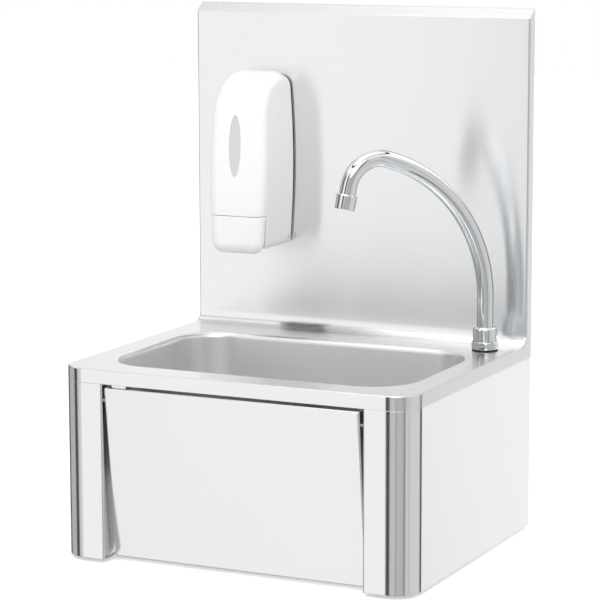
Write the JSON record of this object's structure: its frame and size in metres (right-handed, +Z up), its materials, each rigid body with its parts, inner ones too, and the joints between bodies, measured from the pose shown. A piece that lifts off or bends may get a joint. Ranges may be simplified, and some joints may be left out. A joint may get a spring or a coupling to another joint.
{
  "type": "hand wash sink",
  "caption": "Wall-hung stainless steel hand wash sink with splash back, swan-neck spout, white soap dispenser and a knee panel that works the water valve.",
  "frame": {"origin": "on the wall, midway between the wall rail's two screw holes and level with the top of the deck", "axes": "+X to the right of a person standing at the sink, +Y into the wall, +Z up"},
  "size_m": [0.4, 0.3318, 0.565],
  "materials": {
    "stainless_sheet": "satin",
    "stainless_bowl": "satin",
    "chrome_plate": "polished",
    "zinc_steel": "satin",
    "brass_fitting": "satin",
    "nickel_brass": "satin",
    "copper_pipe": "polished",
    "white_abs": "gloss",
    "smoked_window": "gloss",
    "grey_plastic": "matte",
    "clear_bottle": "matte",
    "black_rubber": "matte"
  },
  "bodies": {
    "basin": {"worktop": "stainless_sheet", "bowl": "stainless_bowl", "left_side_panel": "stainless_sheet", "right_side_panel": "stainless_sheet", "wall_rail": "zinc_steel", "hanger_strip": "stainless_sheet", "panel_stop": "stainless_sheet", "stop_buffer": "black_rubber", "pivot_screws": "zinc_steel", "pivot_washers": "zinc_steel", "pivot_nuts": "zinc_steel", "valve_bracket": "stainless_sheet", "valve_body": "nickel_brass", "valve_nuts": "nickel_brass", "supply_pipe": "copper_pipe", "outlet_pipe": "copper_pipe", "pipe_nuts": "brass_fitting", "mixer_body": "nickel_brass", "non_return_valves": "grey_plastic", "mixer_bracket": "zinc_steel", "base_gasket": "black_rubber", "spout_base": "chrome_plate", "swivel_nut": "chrome_plate", "shank_washer": "zinc_steel", "shank_nut": "brass_fitting", "waste_strainer": "stainless_sheet", "waste_seal": "black_rubber", "waste_body": "chrome_plate", "strainer_screw": "zinc_steel", "dispenser_back_plate": "white_abs", "dispenser_screws": "zinc_steel", "cover_hinge_pins": "zinc_steel", "soap_bottle": "clear_bottle", "pump_body": "grey_plastic"},
    "knee": {"knee_panel": "stainless_sheet"},
    "push_valve": {"valve_plunger": "chrome_plate"},
    "spout": {"spout_tube": "chrome_plate", "spout_seals": "black_rubber", "outlet_nozzle": "chrome_plate", "aerator": "grey_plastic"},
    "cover": {"dispenser_cover": "white_abs", "dispenser_window": "smoked_window"},
    "bar": {"push_bar": "white_abs", "bar_pins": "zinc_steel"},
    "pump": {"pump_plunger": "grey_plastic"},
    "knob": {"mixer_knob": "grey_plastic"}
  },
  "joints": [
    {"name": "knee_hinge", "type": "hinge", "parent": "basin", "child": "knee", "pos_m": [0, -0.3257, -0.0326], "axis": [1, 0, 0], "range_deg": [0, 4]},
    {"name": "valve_slide", "type": "slide", "parent": "basin", "child": "push_valve", "axis": [0, 1, 0], "range_m": [0, 0.01], "stiffness_N_per_m": 900, "springref_m": -0.005},
    {"name": "spout_swivel", "type": "hinge", "parent": "basin", "child": "spout", "pos_m": [0.169, -0.0577, 0.02], "axis": [0, 0, 1], "range_deg": [-55, 135]},
    {"name": "cover_hinge", "type": "hinge", "parent": "basin", "child": "cover", "pos_m": [-0.1128, -0.023, 0.104], "axis": [1, 0, 0], "range_deg": [0, 80]},
    {"name": "bar_hinge", "type": "hinge", "parent": "cover", "child": "bar", "pos_m": [-0.1128, -0.087, 0.13], "axis": [1, 0, 0], "range_deg": [0, 5], "stiffness_Nm_per_rad": 0.2, "springref_deg": -2.86},
    {"name": "pump_slide", "type": "slide", "parent": "basin", "child": "pump", "axis": [0, 1, 0], "range_m": [0, 0.0026]},
    {"name": "temperature_knob", "type": "hinge", "parent": "basin", "child": "knob", "pos_m": [-0.055, -0.045, -0.158], "axis": [1, 0, 0], "range_deg": [-45, 45]}
  ],
  "couplings": [
    {"joint": "valve_slide", "follows": "knee_hinge", "m_per_rad": 0.142},
    {"joint": "pump_slide", "follows": "bar_hinge", "m_per_rad": 0.023}
  ]
}
